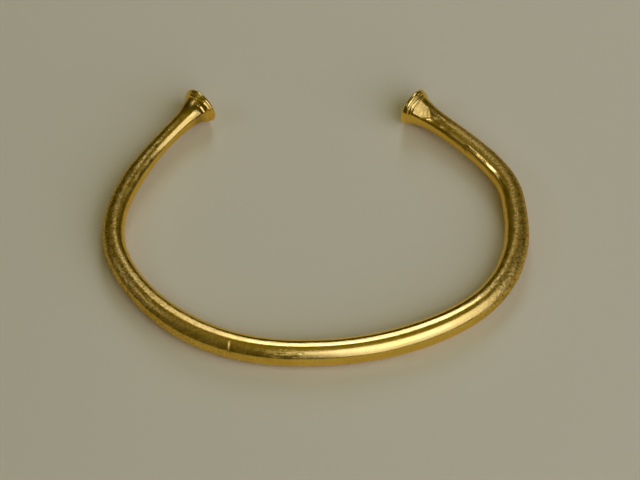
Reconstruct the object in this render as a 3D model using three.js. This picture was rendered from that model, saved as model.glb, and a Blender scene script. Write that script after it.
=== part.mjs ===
// Penannular gold armlet: one solid bar, hammered, bent to an open C and ended by two trumpet terminals.
// It lies flat on a table. X runs across the bow, Y from the bow to the terminals, Z is up.
// Millimetres. The origin is under the middle of its box, on the table.
import * as THREE from "three";
import { NURBSCurve } from "three/addons/curves/NURBSCurve.js";

// Width outside the two shoulders, and depth from the middle of the bow to the left end of the bar
const SPAN = 80;
const REACH = 54.7;

// Thickness of the bar, from the left neck round the bow to the right neck
const LEFT_NECK_DIAMETER = 3.4;
const LEFT_ARM_DIAMETER = 4.0;
const LEFT_SHOULDER_DIAMETER = 4.3;
const BOW_LEFT_DIAMETER = 5.05;
const BOW_MIDDLE_DIAMETER = 4.9;
const BOW_RIGHT_DIAMETER = 5.1;
const RIGHT_SHOULDER_DIAMETER = 4.65;
const RIGHT_ARM_DIAMETER = 4.25;
const RIGHT_NECK_DIAMETER = 3.95;

// Trumpet terminals: a domed end face, a rounded lip, and behind the lip a fine cordon between two grooves
const TERMINAL_DIAMETER = 7.4;
const FACE_DOME = 0.3;
const LIP_THICKNESS = 0.95;
const LIP_ROUND = 0.4;
const LIP_STEP = 0.25;
const GROOVE_WIDTH = 0.3;
const GROOVE_DEPTH = 0.12;
const CORDON_WIDTH = 0.4;
const CORDON_HEIGHT = 0.12;
const FLARE_ROOT_DIAMETER = 5.95;
const LEFT_FLARE_REACH = 2.0;
const RIGHT_FLARE_REACH = 2.4;

// A soft hammered arris along the outside of the bow: the direction that it faces, how far round the bar
// the skin beside it is sunk, and by how much
const ARRIS_FACES_DEG = 146;
const ARRIS_SPREAD_DEG = 50;
const ARRIS_SINK = 0.06;

// The top of the bow, worn to a slope towards the inside: the directions of its upper edge, its foot
// and where the sunk skin comes out again, and how deep it is at the foot
const SLOPE_TOP_DEG = 98;
const SLOPE_FOOT_DEG = 70;
const SLOPE_END_DEG = 20;
const SLOPE_SINK = 0.12;

// Depth of the small flats that it rests on: under the bow, and how much deeper under the two terminals
const REST_FLAT_DEPTH = 0.1;
const TERMINAL_WEAR = 0.1;

// Fineness of the faceted solid
const SIDES = 24;
const BAR_RINGS = 84;
const DOME_RINGS = 2;
const LIP_RINGS = 5;
const FLARE_RINGS = 10;

// Control points of the bent centreline, from the left end round the bow to the right end,
// as shares of half its own width and half its own depth
const BEND = [
  [-0.570, 1.000],
  [-1.094, 0.228],
  [-0.979, -0.491],
  [-0.483, -0.972],
  [-0.013, -1.020],
  [0.401, -0.947],
  [0.855, -0.658],
  [1.012, -0.212],
  [0.997, 0.150],
  [0.956, 0.484],
  [0.482, 0.985],
];

// Thickness stations: share of the bar's length, and diameter there
const THICKNESS = [
  [0.0, LEFT_NECK_DIAMETER],
  [0.065, LEFT_NECK_DIAMETER],
  [0.14, LEFT_ARM_DIAMETER],
  [0.25, LEFT_SHOULDER_DIAMETER],
  [0.36, BOW_LEFT_DIAMETER],
  [0.49, BOW_MIDDLE_DIAMETER],
  [0.61, BOW_RIGHT_DIAMETER],
  [0.76, RIGHT_SHOULDER_DIAMETER],
  [0.87, RIGHT_ARM_DIAMETER],
  [0.945, RIGHT_NECK_DIAMETER],
  [1.0, RIGHT_NECK_DIAMETER],
];

// Stretches of the bar's length where the arris and the slope come in and where they fade out
const ARRIS_COMES_IN_SHARE = [0.2, 0.3];
const ARRIS_FADES_OUT_SHARE = [0.56, 0.68];
const SLOPE_COMES_IN_SHARE = [0.234, 0.292];
const SLOPE_FADES_OUT_SHARE = [0.654, 0.725];

// A flare is followed for this many times its reach, where it has sunk into the neck
const FLARE_TAIL_REACHES = 4;
// Rings of a flare stand closer near the terminal
const FLARE_RING_EASE = 1.5;

const smoothstep = THREE.MathUtils.smoothstep;

// The centreline is a cubic spline that starts and ends at its outer control points
function bentCentreline() {
  const degree = 3;
  const spans = BEND.length - degree;
  const knots = [];
  for (let i = -degree; i <= spans + degree; i++) {
    knots.push(THREE.MathUtils.clamp(i, 0, spans) / spans);
  }
  const width = SPAN - (LEFT_SHOULDER_DIAMETER + RIGHT_SHOULDER_DIAMETER) / 2;
  const points = BEND.map(([x, y]) => new THREE.Vector4(x * width / 2, y * REACH / 2, 0, 1));
  const curve = new NURBSCurve(degree, knots, points);
  curve.arcLengthDivisions = 1000;
  return curve;
}

const centreline = bentCentreline();
const BAR_LENGTH = centreline.getLength();

// Radius of the plain bar at a share of its length, easing from station to station
function barRadius(share) {
  let i = 0;
  while (i < THICKNESS.length - 2 && share > THICKNESS[i + 1][0]) {
    i++;
  }
  const [from, thin] = THICKNESS[i];
  const [to, thick] = THICKNESS[i + 1];
  return THREE.MathUtils.lerp(thin, thick, smoothstep(share, from, to)) / 2;
}

const LIP_BACK = FACE_DOME + LIP_THICKNESS;
const HEAD_DEPTH = LIP_BACK + 2 * GROOVE_WIDTH + CORDON_WIDTH;

// The terminal's profile from the middle of its face back to the root of the flare:
// points of [radius, distance behind the face]
function terminalHead() {
  const rim = TERMINAL_DIAMETER / 2;
  const root = FLARE_ROOT_DIAMETER / 2;
  const faceEdge = rim - LIP_ROUND;
  const head = [];
  for (let i = 0; i <= DOME_RINGS; i++) {
    const r = faceEdge * i / (DOME_RINGS + 1);
    head.push([r, FACE_DOME * (r / faceEdge) ** 2]);
  }
  for (let i = 0; i < LIP_RINGS; i++) {
    const turn = Math.PI * i / LIP_RINGS;
    head.push([faceEdge + LIP_ROUND * Math.sin(turn), FACE_DOME + LIP_THICKNESS * (1 - Math.cos(turn)) / 2]);
  }
  const back = rim - LIP_STEP;
  const body = (behind) => THREE.MathUtils.mapLinear(behind, LIP_BACK, HEAD_DEPTH, back, root);
  const groove = LIP_BACK + GROOVE_WIDTH / 2;
  const cordon = LIP_BACK + GROOVE_WIDTH + CORDON_WIDTH / 2;
  head.push([body(LIP_BACK), LIP_BACK]);
  head.push([body(groove) - GROOVE_DEPTH, groove]);
  head.push([body(cordon) + CORDON_HEIGHT, cordon]);
  head.push([body(HEAD_DEPTH - GROOVE_WIDTH / 2) - GROOVE_DEPTH, HEAD_DEPTH - GROOVE_WIDTH / 2]);
  return head;
}

// How far the flare still stands out from the neck, at a distance behind the face
function flare(behind, reach, neckDiameter) {
  return (FLARE_ROOT_DIAMETER - neckDiameter) / 2 * Math.exp(-(behind - HEAD_DEPTH) / reach);
}

function radiusBehindHeads(along) {
  const left = flare(along, LEFT_FLARE_REACH, LEFT_NECK_DIAMETER);
  const right = flare(BAR_LENGTH - along, RIGHT_FLARE_REACH, RIGHT_NECK_DIAMETER);
  return barRadius(along / BAR_LENGTH) + left + right;
}

// Distances behind the face where a flare has its rings
function flareStations(reach) {
  const stations = [];
  for (let i = 0; i < FLARE_RINGS; i++) {
    stations.push(HEAD_DEPTH + FLARE_TAIL_REACHES * reach * (i / FLARE_RINGS) ** FLARE_RING_EASE);
  }
  return stations;
}

// Profile of the straight bar before it is bent: both heads, both flares in close rings, the bar in wide ones
function straightProfile() {
  const head = terminalHead();
  const stations = flareStations(LEFT_FLARE_REACH);
  const barFrom = HEAD_DEPTH + FLARE_TAIL_REACHES * LEFT_FLARE_REACH;
  const barTo = BAR_LENGTH - HEAD_DEPTH - FLARE_TAIL_REACHES * RIGHT_FLARE_REACH;
  for (let i = 0; i <= BAR_RINGS; i++) {
    stations.push(THREE.MathUtils.lerp(barFrom, barTo, i / BAR_RINGS));
  }
  stations.push(...flareStations(RIGHT_FLARE_REACH).reverse().map((behind) => BAR_LENGTH - behind));
  return [
    ...head.map(([r, behind]) => new THREE.Vector2(r, behind)),
    ...stations.map((along) => new THREE.Vector2(radiusBehindHeads(along), along)),
    ...head.reverse().map(([r, behind]) => new THREE.Vector2(r, BAR_LENGTH - behind)),
  ];
}

// 1 on a stretch of the bar's length, easing in and out
function stretch(share, comesIn, fadesOut) {
  return smoothstep(share, ...comesIn) * (1 - smoothstep(share, ...fadesOut));
}

// How deep the skin is sunk beside the arris: nothing on it, ARRIS_SINK a third of the spread away
function besideArris(directionDeg, share) {
  const aside = Math.min(1, Math.abs(directionDeg - ARRIS_FACES_DEG) / ARRIS_SPREAD_DEG);
  const curve = aside * (1 - aside) ** 2;
  const curveAtThird = 4 / 27;
  return ARRIS_SINK * curve / curveAtThird * stretch(share, ARRIS_COMES_IN_SHARE, ARRIS_FADES_OUT_SHARE);
}

function onSlope(directionDeg, share) {
  const upper = 1 - smoothstep(directionDeg, SLOPE_FOOT_DEG, SLOPE_TOP_DEG);
  const lower = smoothstep(directionDeg, SLOPE_END_DEG, SLOPE_FOOT_DEG);
  return SLOPE_SINK * Math.min(upper, lower) * stretch(share, SLOPE_COMES_IN_SHARE, SLOPE_FADES_OUT_SHARE);
}

// Distance from the centre to the hammered surface in a direction
function hammered(radius, direction, share) {
  const directionDeg = THREE.MathUtils.euclideanModulo(THREE.MathUtils.radToDeg(direction), 360);
  return radius - besideArris(directionDeg, share) - onSlope(directionDeg, share);
}

// Bends the straight bar along the centreline. A section's direction is 0 towards the inside
// of the C, 90 degrees up and 180 towards the outside.
function bendBar(geometry) {
  const position = geometry.attributes.position;
  const up = new THREE.Vector3(0, 0, 1);
  const vertex = new THREE.Vector3();
  for (let i = 0; i < position.count; i++) {
    vertex.fromBufferAttribute(position, i);
    const share = THREE.MathUtils.clamp(vertex.y / BAR_LENGTH, 0, 1);
    const centre = centreline.getPointAt(share);
    const inwards = new THREE.Vector3().crossVectors(up, centreline.getTangentAt(share)).normalize();
    const direction = Math.atan2(vertex.x, vertex.z);
    const reach = hammered(Math.hypot(vertex.x, vertex.z), direction, share);
    centre.addScaledVector(inwards, reach * Math.cos(direction));
    centre.addScaledVector(up, reach * Math.sin(direction));
    position.setXYZ(i, centre.x, centre.y, centre.z);
  }
}

// The armlet lies on its bow and on both terminals, which are thicker, so it leans a little
function layDown(geometry) {
  const lift = (TERMINAL_DIAMETER - BOW_MIDDLE_DIAMETER) / 2 - TERMINAL_WEAR;
  geometry.rotateX(Math.atan2(lift, REACH));
}

// Presses small flats where it rests, and sets the origin under the middle of its box
function pressRestFlats(geometry) {
  geometry.computeBoundingBox();
  const table = geometry.boundingBox.min.z + REST_FLAT_DEPTH + TERMINAL_WEAR;
  const position = geometry.attributes.position;
  for (let i = 0; i < position.count; i++) {
    position.setZ(i, Math.max(position.getZ(i), table));
  }
  geometry.computeBoundingBox();
  const { min, max } = geometry.boundingBox;
  geometry.translate(-(min.x + max.x) / 2, -(min.y + max.y) / 2, -min.z);
}

function makeArmlet() {
  const geometry = new THREE.LatheGeometry(straightProfile(), SIDES);
  bendBar(geometry);
  layDown(geometry);
  pressRestFlats(geometry);
  geometry.computeVertexNormals();
  const gold = new THREE.MeshStandardMaterial({ color: 0xd9a94a, roughness: 0.28, metalness: 1.0 });
  const armlet = new THREE.Mesh(geometry, gold);
  armlet.name = "armlet";
  return armlet;
}

const group = new THREE.Group();
group.add(makeArmlet());

export default group;
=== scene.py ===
import math

import bpy
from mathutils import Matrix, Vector


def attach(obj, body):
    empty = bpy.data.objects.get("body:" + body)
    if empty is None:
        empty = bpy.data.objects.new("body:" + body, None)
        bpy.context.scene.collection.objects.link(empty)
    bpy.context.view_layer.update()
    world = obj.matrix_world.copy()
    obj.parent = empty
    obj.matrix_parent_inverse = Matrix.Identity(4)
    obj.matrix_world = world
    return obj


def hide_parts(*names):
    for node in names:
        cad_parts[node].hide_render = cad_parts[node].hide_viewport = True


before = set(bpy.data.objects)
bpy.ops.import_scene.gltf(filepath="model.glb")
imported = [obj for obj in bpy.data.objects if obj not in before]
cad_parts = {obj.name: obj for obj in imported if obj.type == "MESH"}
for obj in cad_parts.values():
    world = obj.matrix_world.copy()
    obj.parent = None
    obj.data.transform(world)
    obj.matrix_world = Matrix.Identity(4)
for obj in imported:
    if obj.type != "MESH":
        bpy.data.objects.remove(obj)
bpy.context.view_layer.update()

MM = 0.001

# The bar, as in the solid
SPAN = 80.0
REACH = 54.7
LEFT_NECK = 3.4
LEFT_SHOULDER = 4.3
BOW_MIDDLE = 4.9
RIGHT_SHOULDER = 4.65
RIGHT_NECK = 3.95
SHOULDER = (LEFT_SHOULDER + RIGHT_SHOULDER) / 2

# Thickness by share of the bar's length
THICKNESS = [
    (0.0, LEFT_NECK), (0.065, LEFT_NECK), (0.14, 4.0), (0.25, LEFT_SHOULDER), (0.36, 5.05),
    (0.49, BOW_MIDDLE), (0.61, 5.1), (0.76, RIGHT_SHOULDER), (0.87, 4.25), (0.945, RIGHT_NECK),
    (1.0, RIGHT_NECK),
]

# Control points of the bend, as shares of half the span and half the reach
BEND = [
    (-0.570, 1.000), (-1.094, 0.228), (-0.979, -0.491), (-0.483, -0.972), (-0.013, -1.020), (0.401, -0.947),
    (0.855, -0.658), (1.012, -0.212), (0.997, 0.150), (0.956, 0.484), (0.482, 0.985),
]

# The terminals
TERMINAL_WIDTH = 7.4
FACE_DOME = 0.3
LIP = 0.95
LIP_ROUND = 0.4
LIP_BACK_DROP = 0.1
HEAD = 2.25
FLARE_ROOT = 5.95
LEFT_FLARE = 2.0
RIGHT_FLARE = 2.4

# The small flats that it rests on
REST_FLAT = 0.1
TERMINAL_WEAR = 0.1

# Fineness of the turned bar, before one subdivision
SIDES = 54
FACE_STEPS = 9
LIP_START = 0.02
HEAD_STEP = 0.12
FINE_TO = HEAD + 0.6
FLARE_STEP = 0.32
FLARE_END = 10.0
BAR_STEP = 0.47
BEND_STEPS = 64
SAME_POINT = 0.002


def ease(x, start, end):
    """Rises smoothly from 0 at start to 1 at end."""
    x = min(1.0, max(0.0, (x - start) / (end - start)))
    return x * x * (3.0 - 2.0 * x)


def within(x, rise, fall):
    """Rises smoothly over the first range and falls again over the second."""
    return ease(x, *rise) * (1 - ease(x, *fall))


def nothing_selected():
    if bpy.context.mode != "OBJECT":
        bpy.ops.object.mode_set(mode="OBJECT")
    bpy.ops.object.select_all(action="DESELECT")


def only(piece):
    nothing_selected()
    piece.select_set(True)
    bpy.context.view_layer.objects.active = piece


def apply_modifier(piece, kind, **settings):
    only(piece)
    bpy.ops.object.modifier_add(type=kind)
    modifier = piece.modifiers[-1]
    for name, value in settings.items():
        setattr(modifier, name, value)
    bpy.ops.object.modifier_apply(modifier=modifier.name)


def bend_path():
    """A path along the middle of the bar, from the left terminal round the bow to the right one."""
    nothing_selected()
    bpy.ops.curve.primitive_nurbs_path_add(location=(0, 0, 0))
    path = bpy.context.object
    path.data.dimensions = "2D"
    spline = path.data.splines[0]
    spline.points.add(len(BEND) - len(spline.points))
    half = (SPAN - SHOULDER) / 2, REACH / 2
    for point, (x, y) in zip(spline.points, BEND):
        point.co = (x * half[0] * MM, y * half[1] * MM, 0, 1)
    spline.order_u = 4
    spline.use_endpoint_u = True
    spline.resolution_u = BEND_STEPS
    return path


path = bend_path()
BAR_LENGTH = path.data.splines[0].calc_length() / MM


def bar_radius(along):
    share = along / BAR_LENGTH
    for (start, thin), (end, thick) in zip(THICKNESS, THICKNESS[1:]):
        if share <= end or end == 1.0:
            return (thin + (thick - thin) * ease(share, start, end)) / 2


def radius_at(along):
    """Radius of the turned bar, with the lips and the flares of both ends."""
    radius = bar_radius(along)
    ends = (along, LEFT_NECK, LEFT_FLARE), (BAR_LENGTH - along, RIGHT_NECK, RIGHT_FLARE)
    for behind, neck, reach in ends:
        if behind < HEAD:
            rim = TERMINAL_WIDTH / 2
            if behind < FACE_DOME + LIP:
                across = (behind - FACE_DOME) / LIP * 2 - 1
                return rim - LIP_ROUND * (1 - math.sqrt(max(0.0, 1 - across * across)))
            share = (behind - FACE_DOME - LIP) / (HEAD - FACE_DOME - LIP)
            return rim - LIP_BACK_DROP + (FLARE_ROOT / 2 - rim + LIP_BACK_DROP) * share
        radius += (FLARE_ROOT - neck) / 2 * math.exp(-(behind - HEAD) / reach)
    return radius


def profile():
    """Points of distance along and radius, from the middle of one face to the middle of the other."""
    edge = TERMINAL_WIDTH / 2 - LIP_ROUND
    face = [(FACE_DOME * (i / FACE_STEPS) ** 2, edge * i / FACE_STEPS) for i in range(FACE_STEPS + 1)]
    stations = []
    behind = FACE_DOME + LIP_START
    while behind < FLARE_END:
        stations.append(behind)
        behind += HEAD_STEP if behind < FINE_TO else FLARE_STEP
    steps = round((BAR_LENGTH - 2 * FLARE_END) / BAR_STEP)
    along = stations + [FLARE_END + (BAR_LENGTH - 2 * FLARE_END) * i / steps for i in range(steps + 1)]
    along += [BAR_LENGTH - s for s in reversed(stations)]
    points = face + [(a, radius_at(a)) for a in along]
    return points + [(BAR_LENGTH - a, r) for a, r in reversed(face)]


def turned_bar():
    """The straight bar on the X axis: its profile drawn point by point and spun."""
    nothing_selected()
    points = profile()
    bpy.ops.mesh.primitive_plane_add(size=MM, location=(0, 0, 0))
    bar = bpy.context.object
    bar.name = "armlet_gold"
    bpy.ops.object.mode_set(mode="EDIT")
    bpy.ops.mesh.select_all(action="SELECT")
    bpy.ops.mesh.merge(type="CENTER")
    last = (0.0, 0.0)
    for point in points[1:]:
        step = (point[0] - last[0]) * MM, 0, (point[1] - last[1]) * MM
        bpy.ops.mesh.extrude_region_move(TRANSFORM_OT_translate={"value": step})
        last = point
    bpy.ops.mesh.select_all(action="SELECT")
    bpy.ops.mesh.spin(steps=SIDES, angle=math.tau, center=(0, 0, 0), axis=(1, 0, 0))
    bpy.ops.mesh.select_all(action="SELECT")
    bpy.ops.mesh.remove_doubles(threshold=SAME_POINT * MM)
    bpy.ops.mesh.normals_make_consistent(inside=False)
    bpy.ops.object.mode_set(mode="OBJECT")
    apply_modifier(bar, "SUBSURF", levels=1, render_levels=1)
    return bar


def place_of(vertex):
    """Distance along and direction of a point of the straight bar."""
    return vertex.co.x / MM, math.degrees(math.atan2(vertex.co.z, vertex.co.y)) % 360


def press(bar, name, depth, share, texture=None, middle=0.0):
    """Sinks the skin by depth where share(along, direction) is 1. A negative depth raises it."""
    group = bar.vertex_groups.new(name=name)
    for vertex in bar.data.vertices:
        weight = share(*place_of(vertex))
        if weight > 0:
            group.add([vertex.index], min(1.0, weight), "REPLACE")
    settings = dict(vertex_group=name, strength=-depth * MM, mid_level=middle)
    if texture:
        settings.update(texture=texture, texture_coords="LOCAL")
    apply_modifier(bar, "DISPLACE", **settings)


def turn_between(a, b):
    """Turn from direction b to direction a, from -180 to 180 degrees."""
    return (a - b + 180) % 360 - 180


def on_table(table, x):
    """The value at x on the straight lines through the points of a table."""
    for (x0, y0), (x1, y1) in zip(table, table[1:]):
        if x <= x1:
            return y0 + (y1 - y0) * (x - x0) / (x1 - x0)


def near_line(along, direction, points, half_width, radius):
    """1 on a line drawn through points of (distance along, direction), falling to 0 beside it."""
    nearest = math.inf
    scale = radius * math.pi / 180
    for (a0, d0), (a1, d1) in zip(points, points[1:]):
        x, y = along - a0, turn_between(direction, d0) * scale
        vx, vy = a1 - a0, (d1 - d0) * scale
        share = min(1.0, max(0.0, (x * vx + y * vy) / (vx * vx + vy * vy)))
        nearest = min(nearest, math.hypot(x - vx * share, y - vy * share))
    return 1.0 - ease(nearest, 0.0, half_width)


# A soft arris runs along the outside of the bow, where the hammer worked from above and from outside
ARRIS_FACES = 146
ARRIS_SPREAD = 50
ARRIS_SINK = 0.06
ARRIS_COMES_IN_SHARE = (0.2, 0.3)
ARRIS_FADES_OUT_SHARE = (0.52, 0.62)
# The highest value of x * (1 - x) ** 2 is 1 / ARRIS_PEAK
ARRIS_PEAK = 6.75


def beside_arris(along, direction):
    """Nothing on the arris, 1 a little to either side of it, and fading out round the bar."""
    strength = within(along / BAR_LENGTH, ARRIS_COMES_IN_SHARE, ARRIS_FADES_OUT_SHARE)
    aside = abs(turn_between(direction, ARRIS_FACES)) / ARRIS_SPREAD
    return strength * ARRIS_PEAK * aside * (1 - aside) ** 2 if aside < 1 else 0.0


# The top of the bow slopes a little towards the inside, where wear has flattened it. On the right half
# of the bow the slope reaches further over the top
SLOPE_TOP = 98
SLOPE_FOOT = 70
SLOPE_END = 20
SLOPE_SINK = 0.12
SLOPE_COMES_IN = (40, 50)
SLOPE_FADES_OUT = (114, 126)
SLOPE_WIDENS = (92, 106)
SLOPE_WIDER = 12


def on_the_slope(along, direction):
    strength = within(along, SLOPE_COMES_IN, SLOPE_FADES_OUT)
    top = SLOPE_TOP + SLOPE_WIDER * ease(along, *SLOPE_WIDENS)
    direction = turn_between(direction, 0)
    if direction > SLOPE_FOOT:
        return strength * (1 - ease(direction, SLOPE_FOOT, top))
    return strength * ease(direction, SLOPE_END, SLOPE_FOOT)


# Grooves behind the lips, each as pairs of a direction and the distance behind the face there
LEFT_FRONT_GROOVE = [(0, 1.1), (25, 1.05), (60, 1.15), (80, 1.42), (180, 1.42), (270, 1.4), (360, 1.1)]
LEFT_BACK_GROOVE = [
    (0, 1.9), (30, 1.95), (50, 2.2), (70, 2.2), (90, 2.08), (180, 2.08), (270, 2.1), (360, 1.9),
]
RIGHT_FRONT_GROOVE = [(0, 1.7), (35, 1.66), (60, 1.5), (110, 1.68), (180, 1.6), (270, 1.6), (360, 1.7)]
RIGHT_BACK_GROOVE = [(0, 2.2), (35, 2.16), (60, 2.02), (110, 2.2), (180, 2.1), (270, 2.1), (360, 2.2)]
GROOVES_END = HEAD + 2
# The left back groove is rubbed away towards the inside of the C
RUBBED_FROM = (12, 24)
RUBBED_TO = (62, 74)


def groove(line, half_width, left, rubbed=False):
    def share(along, direction):
        behind = along if left else BAR_LENGTH - along
        if behind > GROOVES_END:
            return 0.0
        there = 1.0 - ease(abs(behind - on_table(line, direction)), 0.0, half_width)
        return there * (1 - within(direction, RUBBED_FROM, RUBBED_TO)) if rubbed else there
    return share


# Soft unevenness from the hammer, everywhere but on the lips, and faint on the polished bow
DENT_SIZE = 3.4
DENT_DEPTH = 0.08
DENTS_COME_IN = (HEAD, HEAD + 3)
POLISHED_FROM_SHARE = (0.25, 0.4)
POLISHED_TO_SHARE = (0.66, 0.74)
POLISHED_AWAY = 0.75


def off_the_lips(along, direction):
    behind = min(along, BAR_LENGTH - along)
    polish = POLISHED_AWAY * within(along / BAR_LENGTH, POLISHED_FROM_SHARE, POLISHED_TO_SHARE)
    return ease(behind, *DENTS_COME_IN) * (1 - polish)


# The grain of the casting, which the hammer left on the arms. It is fainter on the right neck and nearly
# gone on the inside of the C
GRAIN_SIZE = 0.7
GRAIN_DEPTH = 0.022
LEFT_GRAIN_FROM = (14, 22)
LEFT_GRAIN_TO = (40, 60)
RIGHT_GRAIN_FROM = (117, 123)
RIGHT_GRAIN_WEAKENS = (160, 167)
GRAIN_WEAKER = 0.5
INSIDE_COSINE = (0.1, 0.5)
INSIDE_SMOOTHER = 0.9


def on_the_arms(along, direction):
    left = within(along, LEFT_GRAIN_FROM, LEFT_GRAIN_TO)
    right = ease(along, *RIGHT_GRAIN_FROM) * (1 - GRAIN_WEAKER * ease(along, *RIGHT_GRAIN_WEAKENS))
    inside = ease(math.cos(math.radians(direction)), *INSIDE_COSINE)
    return max(left, right) * (1 - INSIDE_SMOOTHER * inside)


# Nicks and scratches on the bow: points of (distance along, direction), half the width and the share of
# the depth
MARK_DEPTH = 0.13
BOW_MARKS = [
    ([(69.0, 106), (69.25, 147)], 0.34, 1.0),
    ([(66.2, 106), (66.0, 122)], 0.24, 0.5),
    ([(62.2, 136), (62.0, 150)], 0.24, 0.5),
    ([(74.0, 142), (73.8, 156)], 0.24, 0.4),
    ([(78.0, 108), (80.2, 118)], 0.20, 0.35),
    ([(79.2, 106), (82.0, 122)], 0.20, 0.35),
    ([(77.4, 128), (80.8, 120)], 0.20, 0.35),
    ([(76.8, 138), (79.8, 144)], 0.20, 0.35),
    ([(78.8, 146), (81.0, 134)], 0.20, 0.35),
    ([(49.0, 96), (51.8, 110)], 0.25, 0.4),
    ([(44.4, 112), (46.4, 126)], 0.25, 0.4),
]
# Scratches across the flat on the right flare, with distances behind the face
FLARE_SCRATCHES = [
    ([(2.6, 96), (3.3, 58)], 0.17, 0.1),
    ([(3.1, 98), (4.1, 52)], 0.17, 0.14),
    ([(3.7, 94), (4.6, 60)], 0.17, 0.1),
    ([(4.2, 86), (5.2, 48)], 0.17, 0.16),
    ([(4.9, 84), (5.6, 60)], 0.17, 0.14),
    ([(5.3, 72), (6.3, 42)], 0.20, 0.2),
]
MARKS = BOW_MARKS + [
    ([(BAR_LENGTH - behind, direction) for behind, direction in reversed(points)], half_width, share)
    for points, half_width, share in FLARE_SCRATCHES
]
BOW_MARKS_FROM = 43
BOW_MARKS_TO = 84
FLARE_SCRATCHES_TO = 9
MARK_MARGIN = 3
BOW_RADIUS = 2.5


def marked(along, direction):
    depth = 0.0
    if BOW_MARKS_FROM < along < BOW_MARKS_TO or along > BAR_LENGTH - FLARE_SCRATCHES_TO:
        for points, half_width, share in MARKS:
            if points[0][0] - MARK_MARGIN < along < points[-1][0] + MARK_MARGIN:
                depth = max(depth, share * near_line(along, direction, points, half_width, BOW_RADIUS))
    return depth


# The lap: a fold of the skin on the inside of the right arm. Its edge is burnished, and it ends in a step
LAP_LINE = [(156.2, 57), (154.1, 56), (152.4, 52), (149.9, 52), (147.8, 57), (145.1, 54), (141.0, 60)]
LAP_LINE_HALF_WIDTH = 0.4
LAP_LINE_SINK = 0.02
LAP_FROM = 139
LAP_TO = 158
LAP_COMES_IN = (138, 143)
ARM_RADIUS = 2.1
LAP_STEP = [(157.1, 60), (155.9, 12)]
LAP_STEP_REACH = 3.5
LAP_STEP_SINK = 0.07
LAP_STEP_WIDTH = 0.3
LAP_STEP_LEVEL = 0.6
LAP_STEP_COMES_IN = (LAP_STEP[1][1], LAP_STEP[1][1] + 12)
LAP_STEP_FADES_OUT = (LAP_STEP[0][1] - 14, LAP_STEP[0][1])


def on_the_burnished_line(along, direction):
    if not LAP_FROM < along < LAP_TO:
        return 0.0
    return ease(along, *LAP_COMES_IN) * near_line(along, direction, LAP_LINE, LAP_LINE_HALF_WIDTH, ARM_RADIUS)


def below_the_step(along, direction):
    (high, high_turn), (low, low_turn) = LAP_STEP
    if not low_turn < direction < high_turn:
        return 0.0
    edge = low + (high - low) * (direction - low_turn) / (high_turn - low_turn)
    sunk = within(along, (edge - LAP_STEP_REACH, edge - LAP_STEP_LEVEL), (edge - LAP_STEP_WIDTH, edge))
    return sunk * within(direction, LAP_STEP_COMES_IN, LAP_STEP_FADES_OUT)


# The upper side of both flares swells a little behind the grooves
LEFT_SWELL = 0.12
LEFT_SWELL_END = 4.0
RIGHT_SWELL = 0.14
RIGHT_SWELL_END = 4.8
SWELL_COMES_IN = (HEAD - 0.1, HEAD + 0.1)
SWELL_FACES = 75
SWELL_ASIDE = (40, 75)


def swell(end, left):
    def share(along, direction):
        behind = along if left else BAR_LENGTH - along
        aside = abs(turn_between(direction, SWELL_FACES))
        return within(behind, SWELL_COMES_IN, (HEAD, end)) * (1 - ease(aside, *SWELL_ASIDE))
    return share


left_swell = swell(LEFT_SWELL_END, left=True)
right_swell = swell(RIGHT_SWELL_END, left=False)

# A hammered flat on the upper side of the right flare, cut by a plane that comes nearer to the bar's middle
# line away from the terminal, with a rounded end that fades out on the neck
FLAT_FACES = 68
FLAT_LIMIT_COSINE = 0.5
FLAT_FROM = 2.2
FLAT_FRONT_EDGE = 0.2
FLAT_END = 5.6
FLAT_END_ROUND = 26
FLAT_END_BLEND = 0.4
FLAT_TO = 9.5
FLAT_FRONT = 2.76
FLAT_SLOPE = 0.34
FLAT_SINK = 0.7


def on_the_flat(along, direction):
    behind = BAR_LENGTH - along
    towards = math.cos(math.radians(direction - FLAT_FACES))
    if not FLAT_FROM < behind < FLAT_TO or towards < FLAT_LIMIT_COSINE:
        return 0.0
    end = FLAT_END - (turn_between(direction, FLAT_FACES) / FLAT_END_ROUND) ** 2
    plane = (FLAT_FRONT - FLAT_SLOPE * (min(behind, end) - FLAT_FROM)) / towards
    faded = within(behind, (FLAT_FROM, FLAT_FROM + FLAT_FRONT_EDGE), (end - FLAT_END_BLEND, FLAT_TO))
    skin = radius_at(along) + RIGHT_SWELL * right_swell(along, direction)
    return faded * max(0.0, skin - plane) / FLAT_SINK


# Small lumps of gold at the lips of both terminals: distance along, direction, radius, share of the height
LUMP_HEIGHT = 0.1
LUMPS = [
    (2.55, 74, 0.3, 0.7), (1.55, 63, 0.4, 0.8), (1.5, 44, 0.35, 0.6),
    (BAR_LENGTH - 1.33, 111, 0.35, 0.8), (BAR_LENGTH - 1.33, 42, 0.35, 0.8),
]
LUMPS_TO = 4
LIP_RADIUS = 3.0


def on_a_lump(along, direction):
    height = 0.0
    if min(along, BAR_LENGTH - along) < LUMPS_TO:
        for where, faces, radius, share in LUMPS:
            aside = turn_between(direction, faces) * math.pi / 180 * LIP_RADIUS
            height = max(height, share * (1 - ease(math.hypot(along - where, aside), 0.0, radius)))
    return height


# The flat was scraped, which left it duller than the skin beside it. The scraped patch turns towards the
# inside of the C as it goes back, by SCRAPED_TURN degrees for each millimetre
SCRAPED_COMES_IN = (2.1, 2.4)
SCRAPED_FADES_OUT = (4.4, 6.6)
SCRAPED_FACES = 64
SCRAPED_TURN = 2
SCRAPED_ASIDE = (24, 40)
BURNISHED = 2.4


def is_scraped(along, direction):
    behind = BAR_LENGTH - along
    aside = abs(turn_between(direction, SCRAPED_FACES - SCRAPED_TURN * (behind - FLAT_FROM)))
    return within(behind, SCRAPED_COMES_IN, SCRAPED_FADES_OUT) * (1 - ease(aside, *SCRAPED_ASIDE))


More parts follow.
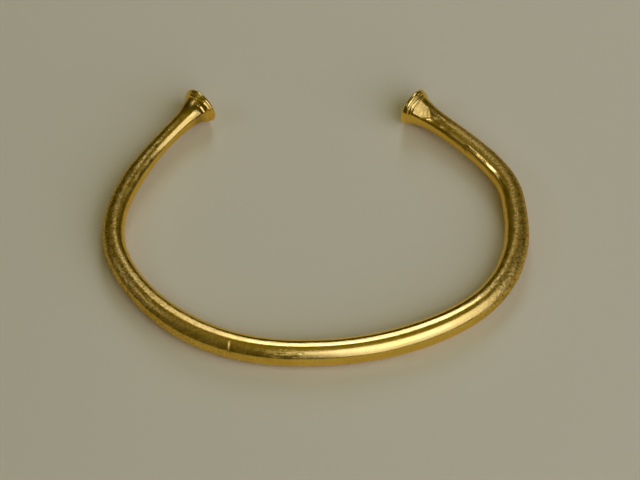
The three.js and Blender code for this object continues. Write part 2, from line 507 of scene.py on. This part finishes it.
dents = bpy.data.textures.new("hammer dents", "CLOUDS")
dents.noise_scale = DENT_SIZE * MM
dents.noise_depth = 1
casting = bpy.data.textures.new("casting grain", "CLOUDS")
casting.noise_scale = GRAIN_SIZE * MM
casting.noise_depth = 2

bar = turned_bar()
press(bar, "arris", ARRIS_SINK, beside_arris)
press(bar, "slope", SLOPE_SINK, on_the_slope)
press(bar, "left front groove", 0.12, groove(LEFT_FRONT_GROOVE, half_width=0.25, left=True))
press(bar, "left back groove", 0.17, groove(LEFT_BACK_GROOVE, half_width=0.32, left=True, rubbed=True))
press(bar, "right front groove", 0.09, groove(RIGHT_FRONT_GROOVE, half_width=0.18, left=False))
press(bar, "right back groove", 0.09, groove(RIGHT_BACK_GROOVE, half_width=0.18, left=False))
press(bar, "hammer dents", DENT_DEPTH, off_the_lips, texture=dents, middle=0.5)
press(bar, "casting grain", GRAIN_DEPTH, on_the_arms, texture=casting, middle=0.5)
press(bar, "nicks and scratches", MARK_DEPTH, marked)
press(bar, "burnished line", LAP_LINE_SINK, on_the_burnished_line)
press(bar, "lap step", LAP_STEP_SINK, below_the_step)
press(bar, "left swell", -LEFT_SWELL, left_swell)
press(bar, "right swell", -RIGHT_SWELL, right_swell)
press(bar, "hammered flat", FLAT_SINK, on_the_flat)
press(bar, "lumps", -LUMP_HEIGHT, on_a_lump)

# Two things are kept on the piece for its material: where each point lies on the straight bar, so that
# scratches follow the bar round the bend, and where the skin is scraped (above 0) or burnished (below 0)
straight = bar.data.attributes.new("straight_bar", "FLOAT_VECTOR", "POINT")
for vertex in bar.data.vertices:
    straight.data[vertex.index].vector = vertex.co / MM
scraped = bar.data.attributes.new("scraped", "FLOAT", "POINT")
for vertex in bar.data.vertices:
    place = place_of(vertex)
    scraped.data[vertex.index].value = is_scraped(*place) - BURNISHED * on_the_burnished_line(*place)

# The bar is bent along the path
apply_modifier(bar, "CURVE", object=path, deform_axis="POS_X")
bpy.data.objects.remove(path)

# It lies on its bow and on both terminals, which are thicker
only(bar)
bar.rotation_euler.x = math.atan2((TERMINAL_WIDTH - BOW_MIDDLE) / 2 - TERMINAL_WEAR, REACH)
bpy.ops.object.transform_apply(location=True, rotation=True, scale=True)


def box_of(piece):
    corners = [v.co for v in piece.data.vertices]
    low = Vector(min(c[i] for c in corners) for i in range(3))
    high = Vector(max(c[i] for c in corners) for i in range(3))
    return low, high


def rest_on_table(bar):
    """Presses the small flats that it rests on, and moves it over the middle of the frame."""
    low, high = box_of(bar)
    table = low.z + (REST_FLAT + TERMINAL_WEAR) * MM
    for vertex in bar.data.vertices:
        vertex.select = vertex.co.z < table
    for group in bar.data.edges, bar.data.polygons:
        for element in group:
            element.select = all(bar.data.vertices[i].select for i in element.vertices)
    bpy.ops.object.mode_set(mode="EDIT")
    bpy.ops.transform.resize(value=(1, 1, 0), center_override=(0, 0, table))
    bpy.ops.mesh.select_all(action="SELECT")
    bpy.ops.transform.translate(value=(-(low.x + high.x) / 2, -(low.y + high.y) / 2, -table))
    bpy.ops.object.mode_set(mode="OBJECT")


rest_on_table(bar)
only(bar)
bpy.ops.object.shade_smooth()
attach(bar, "root")
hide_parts("armlet")


def linear(hex_colour):
    channels = [int(hex_colour[i:i + 2], 16) / 255 for i in (1, 3, 5)]
    return [c / 12.92 if c <= 0.04045 else ((c + 0.055) / 1.055) ** 2.4 for c in channels] + [1.0]


def add(tree, kind, settings=None, stops=None, **inputs):
    """Adds a node, sets it up, and gives each input a value or the output that feeds it.
    The stops of a colour ramp are pairs of position and a hex colour or a grey."""
    node = tree.nodes.new(kind)
    for name, value in (settings or {}).items():
        setattr(node, name, value)
    if stops:
        elements = node.color_ramp.elements
        elements[0].position, elements[1].position = stops[0][0], stops[-1][0]
        for position, _ in stops[1:-1]:
            elements.new(position)
        for element, (_, value) in zip(elements, stops):
            element.color = linear(value) if isinstance(value, str) else (value, value, value, 1)
    for name, value in inputs.items():
        socket = node.inputs[int(name[1:])] if name[1:].isdigit() else node.inputs[name.replace("_", " ")]
        if isinstance(value, bpy.types.NodeSocket):
            tree.links.new(value, socket)
        else:
            socket.default_value = value
    return node


def new_material(name):
    material = bpy.data.materials.new(name)
    material.use_nodes = True
    material.node_tree.nodes.clear()
    return material, material.node_tree


# How rough the skin is, by share of the bar's length: the bow is polished by wear, the arms are duller
DULLNESS = [
    (0.0, 0.25), (0.08, 0.28), (0.16, 0.38), (0.30, 0.40), (0.38, 0.36), (0.43, 0.25), (0.66, 0.23),
    (0.71, 0.36), (0.80, 0.43), (0.86, 0.47), (0.92, 0.48), (0.96, 0.36), (1.0, 0.26),
]
# Where the small pits of the casting are still there, by share of the bar's length
PITTED = [
    (0.0, 0.1), (0.05, 0.35), (0.1, 0.9), (0.27, 0.9), (0.4, 0.3), (0.48, 0.0), (0.66, 0.0), (0.71, 1.0),
    (0.975, 0.65), (0.987, 0.1),
]
# Painted shade in the corner behind the left lip: a factor on the colour by share of the bar's length, where
# 1 is no shade
LEFT_CORNER_PAINTED_SHADE = [(0.0135, 1.0), (0.0175, 0.7), (0.021, 0.62), (0.0257, 0.75), (0.0316, 1.0)]
# Sizes of the patterns
CLOUD_SIZE = 9
FILM_SIZE = 1.2
SPECKLE_SIZE = 0.4
PIT_SIZE = 0.5
SCRATCH_LENGTH = 4
SCRATCHES_PER_MM = 6.0
# The skin grows smoother towards the inside of the C, between these distances from the bar's middle line
OUTSIDE_TO = 0.3
INSIDE_FROM = 1.2


# Gold alloyed with some silver, hammered from a cast bar, rubbed smooth and worn: a deep yellow metal with
# fine scratches along the bar, small pits left from the casting, and a browner film where the pits are
def hammered_gold():
    material, tree = new_material("hammered gold alloy")
    straight = add(tree, "ShaderNodeAttribute", {"attribute_name": "straight_bar"}).outputs["Vector"]
    place = add(tree, "ShaderNodeTexCoord").outputs["Object"]
    position = add(tree, "ShaderNodeSeparateXYZ", Vector=straight)
    share = add(tree, "ShaderNodeMath", {"operation": "DIVIDE"}, _0=position.outputs["X"], _1=BAR_LENGTH)
    share = share.outputs["Value"]
    # the alloy is a little paler in some places than in others
    cloudy = add(tree, "ShaderNodeTexNoise", Vector=place, Scale=1 / (CLOUD_SIZE * MM), Detail=3.0)
    colour = add(tree, "ShaderNodeValToRGB", stops=[(0.35, "#F1D068"), (0.65, "#FADA77")],
                 Fac=cloudy.outputs["Fac"])
    film = add(tree, "ShaderNodeTexNoise", Vector=place, Scale=1 / (FILM_SIZE * MM), Detail=4.0)
    film = film.outputs["Fac"]
    # scratches along the bar, 4 mm long and 0.17 mm apart, drawn coarser than the real ones to show
    drawn = add(tree, "ShaderNodeMapping", Vector=straight,
                Scale=(1 / SCRATCH_LENGTH, SCRATCHES_PER_MM, SCRATCHES_PER_MM)).outputs["Vector"]
    scratches = add(tree, "ShaderNodeTexNoise", Vector=drawn, Scale=1.0, Detail=3.0, Roughness=0.6)
    # pits of the casting 0.5 mm apart, and the speckle between them, drawn coarser than the real ones
    grain = add(tree, "ShaderNodeTexNoise", Vector=place, Scale=1 / (SPECKLE_SIZE * MM), Detail=2.0)
    grain = grain.outputs["Fac"]
    pits = add(tree, "ShaderNodeTexVoronoi", Vector=place, Scale=1 / (PIT_SIZE * MM)).outputs["Distance"]
    hollow = add(tree, "ShaderNodeValToRGB", stops=[(0.0, 0.0), (0.3, 1.0)], Fac=pits).outputs["Color"]
    pitted = add(tree, "ShaderNodeValToRGB", stops=PITTED, Fac=share).outputs["Color"]
    outside = add(tree, "ShaderNodeMapRange", Value=position.outputs["Y"], From_Min=OUTSIDE_TO,
                  From_Max=INSIDE_FROM, To_Min=1.0, To_Max=0.12).outputs["Result"]
    strength = add(tree, "ShaderNodeMath", {"operation": "MULTIPLY"}, _0=pitted, _1=outside).outputs["Value"]
    # a browner film lies where the skin is pitted
    brown = add(tree, "ShaderNodeValToRGB", stops=[(0.3, "#B9963C"), (0.5, "#FFFFFF")], Fac=film)
    stained = add(tree, "ShaderNodeMapRange", Value=strength, To_Min=0.06, To_Max=0.42).outputs["Result"]
    tinted = add(tree, "ShaderNodeMix", {"data_type": "RGBA", "blend_type": "MULTIPLY"}, _0=stained,
                 _6=colour.outputs["Color"], _7=brown.outputs["Color"])
    # painted shade darkens the corner behind the left lip, and the speckle between the pits is darker
    painted_corner_shade = add(tree, "ShaderNodeValToRGB", stops=LEFT_CORNER_PAINTED_SHADE, Fac=share).outputs["Color"]
    speckle = add(tree, "ShaderNodeMapRange", Value=grain, From_Min=0.35, From_Max=0.6,
                  To_Min=0.5, To_Max=1.0)
    shade = add(tree, "ShaderNodeMix", {"data_type": "FLOAT"}, _0=strength, _2=1.0,
                _3=speckle.outputs["Result"])
    shade = add(tree, "ShaderNodeMath", {"operation": "MULTIPLY"}, _0=shade.outputs[0], _1=painted_corner_shade)
    speckled = add(tree, "ShaderNodeMix", {"data_type": "RGBA", "blend_type": "MULTIPLY"}, _0=1.0,
                   _6=tinted.outputs[2], _7=shade.outputs[0])
    # dullness: by wear along the bar, uneven by the film, less on the inside, more where it was scraped
    dull = add(tree, "ShaderNodeValToRGB", stops=DULLNESS, Fac=share).outputs["Color"]
    uneven = add(tree, "ShaderNodeMapRange", Value=film, From_Min=0.3, From_Max=0.7,
                 To_Min=-0.05, To_Max=0.05)
    worn = add(tree, "ShaderNodeMath", {"operation": "ADD"}, _0=dull, _1=uneven.outputs["Result"])
    rubbed = add(tree, "ShaderNodeMapRange", Value=outside, To_Min=-0.15, To_Max=0.0).outputs["Result"]
    worn = add(tree, "ShaderNodeMath", {"operation": "ADD"}, _0=worn.outputs["Value"], _1=rubbed)
    scraped = add(tree, "ShaderNodeAttribute", {"attribute_name": "scraped"}).outputs["Fac"]
    rough = add(tree, "ShaderNodeMath", {"operation": "MULTIPLY_ADD"}, _0=scraped, _1=0.1,
                _2=worn.outputs["Value"])
    weaker = add(tree, "ShaderNodeMath", {"operation": "MULTIPLY"}, _0=strength, _1=0.6).outputs["Value"]
    # the three kinds of relief, one on the other
    drawn_skin = add(tree, "ShaderNodeBump", Strength=0.25, Distance=0.03 * MM,
                     Height=scratches.outputs["Fac"])
    grained = add(tree, "ShaderNodeBump", Strength=strength, Distance=0.05 * MM, Height=grain,
                  Normal=drawn_skin.outputs["Normal"])
    skin = add(tree, "ShaderNodeBump", Strength=weaker, Distance=0.04 * MM, Height=hollow,
               Normal=grained.outputs["Normal"])
    shader = add(tree, "ShaderNodeBsdfPrincipled", Base_Color=speckled.outputs[2], Metallic=1.0,
                 Roughness=rough.outputs["Value"], Normal=skin.outputs["Normal"])
    add(tree, "ShaderNodeOutputMaterial", Surface=shader.outputs["BSDF"])
    return material


bar.data.materials.clear()
bar.data.materials.append(hammered_gold())

# Studio, with lengths in metres: a plain pale floor and soft lights. The lights are cool, so that the gold
# mirrors them as nearly white, and the floor is a warm paper, which looks a pale grey in their light
FLOOR_SIZE = 6.0
FLOOR_COLOUR = "#F8EEB1"
LIGHT_COLOUR = (0.88, 0.96, 2.0)
SKY_TINT = "#F8F06E"
SKY = [(0.0, 0.05), (0.5, 0.09), (0.85, 0.12), (1.0, 0.2)]


# Matt uncoated paper
def floor():
    nothing_selected()
    bpy.ops.mesh.primitive_plane_add(size=FLOOR_SIZE, location=(0, 0, 0))
    ground = bpy.context.object
    ground.name = "floor"
    material, tree = new_material("pale paper")
    shader = add(tree, "ShaderNodeBsdfPrincipled", Base_Color=linear(FLOOR_COLOUR), Roughness=0.9)
    add(tree, "ShaderNodeOutputMaterial", Surface=shader.outputs["BSDF"])
    ground.data.materials.append(material)


def softbox(name, azimuth, elevation, distance, width, height, watts):
    """A light in a direction from the armlet, with azimuth 0 behind it and 90 to the right, in metres."""
    a, e = math.radians(azimuth), math.radians(elevation)
    where = Vector((math.sin(a) * math.cos(e), math.cos(a) * math.cos(e), math.sin(e))) * distance
    bpy.ops.object.light_add(type="AREA", location=where)
    light = bpy.context.object
    light.name = name
    light.data.shape = "RECTANGLE"
    light.data.size = width
    light.data.size_y = height
    light.data.energy = watts
    light.data.color = LIGHT_COLOUR
    light.rotation_euler = (-where).to_track_quat("-Z", "Y").to_euler()


def studio():
    floor()
    nothing_selected()
    softbox("back softbox", 3, 38.5, distance=0.39, width=0.11, height=0.19, watts=0.12)
    softbox("front right softbox", 133, 37, distance=0.8, width=1.1, height=0.92, watts=2.2)
    softbox("front lamp", 149, 50, distance=0.78, width=0.4, height=0.5, watts=0.29)
    softbox("left softbox", -96, 40, distance=0.8, width=0.13, height=0.22, watts=0.16)
    world = bpy.data.worlds.new("dim studio")
    bpy.context.scene.world = world
    world.use_nodes = True
    tree = world.node_tree
    up = add(tree, "ShaderNodeTexCoord").outputs["Generated"]
    height = add(tree, "ShaderNodeSeparateXYZ", Vector=up).outputs["Z"]
    sky = add(tree, "ShaderNodeValToRGB", stops=SKY, Fac=height)
    warm = add(tree, "ShaderNodeMix", {"data_type": "RGBA", "blend_type": "MULTIPLY"}, _0=1.0,
               _6=sky.outputs["Color"], _7=linear(SKY_TINT))
    tree.links.new(warm.outputs[2], tree.nodes["Background"].inputs["Color"])


# The camera looks from the side of the bow
CAMERA_ELEVATION = 58
CAMERA_DISTANCE = 500
CAMERA_AIM = (0.8, -2.93, 2.30)
CAMERA_LENS = 150.35
CAMERA_SENSOR = 36
CAMERA_NEAR = 10


def camera():
    elevation = math.radians(CAMERA_ELEVATION)
    away = Vector((0, -math.cos(elevation), math.sin(elevation)))
    bpy.ops.object.camera_add(location=Vector(CAMERA_AIM) * MM + away * CAMERA_DISTANCE * MM)
    eye = bpy.context.object
    eye.rotation_euler = (-away).to_track_quat("-Z", "Y").to_euler()
    eye.data.sensor_width = CAMERA_SENSOR
    eye.data.lens = CAMERA_LENS
    eye.data.clip_start = CAMERA_NEAR * MM
    bpy.context.scene.camera = eye
    bpy.context.scene.view_settings.view_transform = "Standard"
    bpy.context.scene.view_settings.look = "High Contrast"


studio()
camera()
